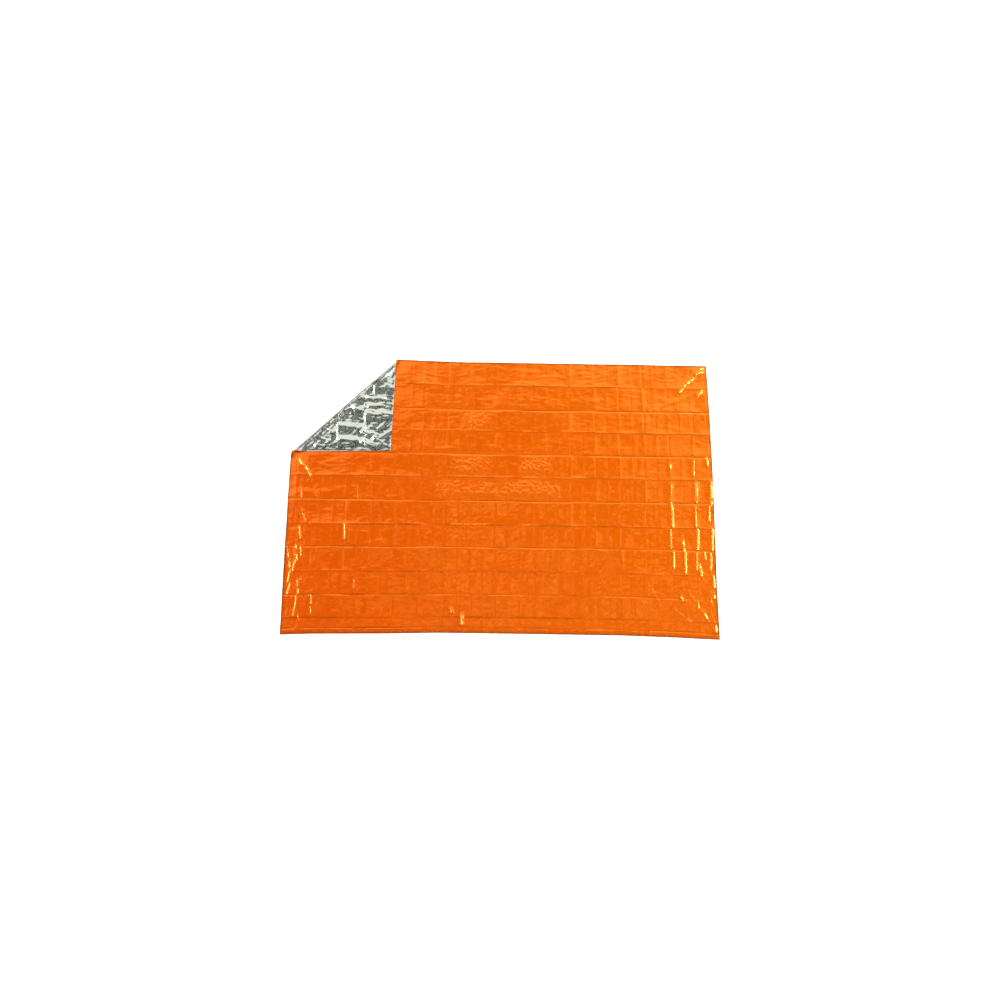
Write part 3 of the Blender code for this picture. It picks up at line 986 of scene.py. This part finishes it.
class StudioSettings(bpy.types.PropertyGroup):
    """Colours and light of the studio."""

    floor_colour: colour_setting("Floor", "Colour of the plain floor", "#F8F8F6")
    light_level: bpy.props.FloatProperty(
        name="Softbox level",
        description="Share of their full power that the softboxes give",
        default=1.0,
        min=0.0,
    )
    horizon_light: bpy.props.FloatProperty(
        name="Horizon light",
        description="Strength of the pale surroundings",
        default=1.0,
        min=0.0,
    )


def paint(mesh, name, strength):
    """Keep a strength at each point of a mesh, for a material to read by its name."""
    layer = mesh.attributes.new(name, "FLOAT", "POINT")
    layer.data.foreach_set("value", strength)


class BLANKET_OT_build_sheet(bpy.types.Operator):
    """Build the creased film sheet with its folded corner"""

    bl_idname = "blanket.build_sheet"
    bl_label = "Build Film Sheet"

    def execute(self, context):
        settings = context.scene.foil_film
        grid = creased_grid()
        mesh = bpy.data.meshes.new("blanket_film")
        grid.to_mesh(mesh)
        grid.free()
        count = len(mesh.vertices)
        flat = np.empty(count * 3)
        mesh.vertices.foreach_get("co", flat)
        flat = flat.reshape(count, 3)
        u, v = flat[:, 0], flat[:, 1]
        corner = np.empty(len(mesh.loops), dtype=int)
        mesh.loops.foreach_get("vertex_index", corner)
        share = np.stack((u / CUT_WIDTH + 0.5, v / CUT_DEPTH + 0.5), axis=1)
        uv_map = mesh.uv_layers.new(name="cut_sheet")
        uv_map.data.foreach_set("uv", share[corner].ravel())
        paint(mesh, "crackle", zone_strength(u, v, CRACKLE_ZONES))
        paint(mesh, "drawn", zone_strength(u, v, DRAWN_ZONES))
        paint(mesh, "ripple", zone_strength(u, v, RIPPLE_ZONES))
        # Painted shade, darker along the cut edge and along the creases
        from_edge = np.minimum(HALF_WIDTH - np.abs(u), HALF_DEPTH - np.abs(v))
        painted_darkening = np.maximum(1.0 - from_edge / EDGE_SHADE_WIDTH, painted_crease_shade(u, v))
        paint(mesh, "painted_shade", np.clip(painted_darkening, 0.0, 1.0))
        x, y, height = fold_corner(u, v)
        x, y = draw_in(x, y)
        mesh.vertices.foreach_set("co", np.stack((x, y, height), axis=1).ravel())
        mesh.shade_smooth()
        mesh.materials.append(orange_film(settings))
        mesh.materials.append(silver_film(settings))
        sheet = bpy.data.objects.new("film_sheet", mesh)
        context.scene.collection.objects.link(sheet)
        body = sheet.modifiers.new("film_thickness", "SOLIDIFY")
        body.thickness = settings.thickness
        body.offset = 1.0
        body.material_offset = 1
        graph = context.evaluated_depsgraph_get()
        solid = bpy.data.meshes.new_from_object(sheet.evaluated_get(graph))
        sheet.modifiers.clear()
        sheet.data = solid
        solid.set_sharp_from_angle(angle=radians(SMOOTH_ANGLE))
        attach(sheet, "root")
        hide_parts("foil_sheet")
        return {"FINISHED"}


# The studio: softboxes hang around the sheet and point at a place on it
WARM_LIGHT = (1.0, 0.96, 0.88)
COOL_LIGHT = (0.78, 0.80, 1.0)
Softbox = namedtuple("Softbox", "name place aim width depth watts colour")
SOFTBOXES = (
    Softbox("softbox_back", (4.2, 8.6, 5.2), (0.0, 0.0, 0.0), 6.0, 2.4, 1100.0, WARM_LIGHT),
    Softbox("softbox_right", (3.4, -0.1, 3.5), (0.9, 0.0, 0.0), 2.8, 0.30, 98.0, COOL_LIGHT),
    Softbox("softbox_left", (-3.4, -0.1, 3.5), (-0.9, -0.2, 0.0), 2.8, 0.27, 62.0, COOL_LIGHT),
)
# The surroundings that the film mirrors: which way they are darkest, how far the dark is squeezed
# sideways, and from where to where they turn from pale to dark, with 1 for the darkest place
SKY_AXIS = (0.0, -0.45, 1.0)
SKY_SQUEEZE = (1.9, 1.0, 1.0)
SKY_TURN = (0.58, 0.70)
SKY_PALE = (0.95, 0.96, 0.90, 1.0)
SKY_DARK = (0.008, 0.026, 0.020, 1.0)
# Paler patches in the dark: how many there are, from which to which noise they fade in, how far
# they cover the dark, and their colour
SKY_PATCHES = 16.0
SKY_PATCH_FADE = (0.53, 0.62)
SKY_PATCH_LIGHT = 0.85
SKY_PATCH_COLOUR = (0.96, 0.95, 0.90, 1.0)
# The floor lies this far under the sheet, and glows by this share of its colour
FLOOR_DROP = 0.0006
FLOOR_SIZE = 30.0
FLOOR_GLOW = 0.6
# Place in metres, tilt and roll in degrees, and focal length in millimetres
CAMERA_PLACE = (-0.0045, -0.8985, 3.815)
CAMERA_TILT = 12.8
CAMERA_ROLL = 0.8
LENS = 28.19


class BLANKET_OT_build_studio(bpy.types.Operator):
    """Build the plain floor, the soft lights, the surroundings and the camera"""

    bl_idname = "blanket.build_studio"
    bl_label = "Build Studio"

    def execute(self, context):
        settings = context.scene.foil_studio
        scene = context.scene
        plane = bmesh.new()
        bmesh.ops.create_grid(plane, x_segments=1, y_segments=1, size=FLOOR_SIZE / 2)
        bmesh.ops.translate(plane, verts=plane.verts, vec=(0.0, 0.0, -FLOOR_DROP))
        mesh = bpy.data.meshes.new("studio_floor")
        plane.to_mesh(mesh)
        plane.free()
        # Matt paint: it scatters light evenly and has hardly any gloss
        paint_looks = {
            "Base Color": settings.floor_colour,
            "Roughness": 0.9,
            "Specular IOR Level": 0.1,
            "Emission Color": settings.floor_colour,
            "Emission Strength": FLOOR_GLOW,
        }
        mesh.materials.append(new_material("matt_paint_floor", paint_looks)[0])
        floor = bpy.data.objects.new("studio_floor", mesh)
        scene.collection.objects.link(floor)
        for box in SOFTBOXES:
            light = bpy.data.lights.new(box.name, "AREA")
            light.shape = "RECTANGLE"
            light.size = box.width
            light.size_y = box.depth
            light.energy = settings.light_level * box.watts
            light.color = box.colour
            lamp = bpy.data.objects.new(box.name, light)
            lamp.location = box.place
            toward = Vector(box.aim) - Vector(box.place)
            lamp.rotation_euler = toward.to_track_quat("-Z", "Y").to_euler()
            scene.collection.objects.link(lamp)
        scene.world = self.surroundings(settings)
        lens = bpy.data.cameras.new("camera")
        lens.lens = LENS
        camera = bpy.data.objects.new("camera", lens)
        tilt = Matrix.Rotation(radians(CAMERA_TILT), 4, "X")
        roll = Matrix.Rotation(radians(CAMERA_ROLL), 4, "Z")
        camera.matrix_world = Matrix.Translation(CAMERA_PLACE) @ (tilt @ roll)
        scene.collection.objects.link(camera)
        scene.camera = camera
        scene.view_settings.view_transform = "Standard"
        return {"FINISHED"}

    def surroundings(self, settings):
        """World that is dark overhead, with paler patches, and pale towards the horizon.

        The film mirrors it, and the camera sees only the patches' plain pale colour.
        """
        world = bpy.data.worlds.new("studio_surroundings")
        world.use_nodes = True
        tree = world.node_tree
        way = add_node(tree, "TexCoord").outputs["Generated"]
        squeezed = add_node(tree, "VectorMath", {"operation": "MULTIPLY", 1: SKY_SQUEEZE}, {0: way})
        unit = add_node(
            tree, "VectorMath", {"operation": "NORMALIZE"}, {0: squeezed.outputs["Vector"]}
        )
        height = add_node(
            tree,
            "VectorMath",
            {"operation": "DOT_PRODUCT", 1: Vector(SKY_AXIS).normalized()},
            {0: unit.outputs["Vector"]},
        )
        patches = add_node(tree, "TexNoise", {"Scale": SKY_PATCHES, "Detail": 2.0}, {"Vector": way})
        low, high = SKY_PATCH_FADE
        pale = add_node(
            tree,
            "MapRange",
            {"From Min": low, "From Max": high, "To Max": SKY_PATCH_LIGHT},
            {"Value": patches.outputs["Fac"]},
        )
        ramp = add_node(tree, "ValToRGB", links={"Fac": height.outputs["Value"]})
        stops = zip(ramp.color_ramp.elements, SKY_TURN, (SKY_PALE, SKY_DARK))
        for stop, position, colour in stops:
            stop.position = position
            stop.color = colour
        light_path = add_node(tree, "LightPath")
        paler = add_node(
            tree,
            "Math",
            {"operation": "MAXIMUM"},
            {0: pale.outputs["Result"], 1: light_path.outputs["Is Camera Ray"]},
        )
        sky = add_node(
            tree,
            "Mix",
            {"data_type": "RGBA", MIX_TO: SKY_PATCH_COLOUR},
            {"Factor": paler.outputs["Value"], MIX_FROM: ramp.outputs["Color"]},
        )
        shader = tree.nodes["Background"]
        shader.inputs["Strength"].default_value = settings.horizon_light
        tree.links.new(sky.outputs[MIX_RESULT], shader.inputs["Color"])
        return world


# The settings that the panel shows, above the two builders
FILM_ROWS = ("thickness", "orange_light", "orange_deep", "orange_painted_shade", "orange_glint", "silver")
STUDIO_ROWS = ("floor_colour", "light_level", "horizon_light")


class BLANKET_PT_panel(bpy.types.Panel):
    """Sidebar panel with the settings and the builders"""

    bl_idname = "BLANKET_PT_panel"
    bl_label = "Foil Blanket"
    bl_space_type = "VIEW_3D"
    bl_region_type = "UI"
    bl_category = "Foil Blanket"

    def draw(self, context):
        film = context.scene.foil_film
        studio = context.scene.foil_studio
        box = self.layout.box()
        for name in FILM_ROWS:
            box.prop(film, name)
        box.operator("blanket.build_sheet")
        box = self.layout.box()
        for name in STUDIO_ROWS:
            box.prop(studio, name)
        box.operator("blanket.build_studio")


CLASSES = (
    FilmSettings,
    StudioSettings,
    BLANKET_OT_build_sheet,
    BLANKET_OT_build_studio,
    BLANKET_PT_panel,
)


def register():
    """Register the classes and hang the settings on the scene."""
    for cls in CLASSES:
        bpy.utils.register_class(cls)
    bpy.types.Scene.foil_film = bpy.props.PointerProperty(type=FilmSettings)
    bpy.types.Scene.foil_studio = bpy.props.PointerProperty(type=StudioSettings)


def unregister():
    """Take the settings off the scene and unregister the classes."""
    del bpy.types.Scene.foil_studio
    del bpy.types.Scene.foil_film
    for cls in reversed(CLASSES):
        bpy.utils.unregister_class(cls)


def main():
    """Build the blanket and its studio."""
    register()
    bpy.ops.blanket.build_sheet()
    bpy.ops.blanket.build_studio()


if __name__ == "__main__":
    main()
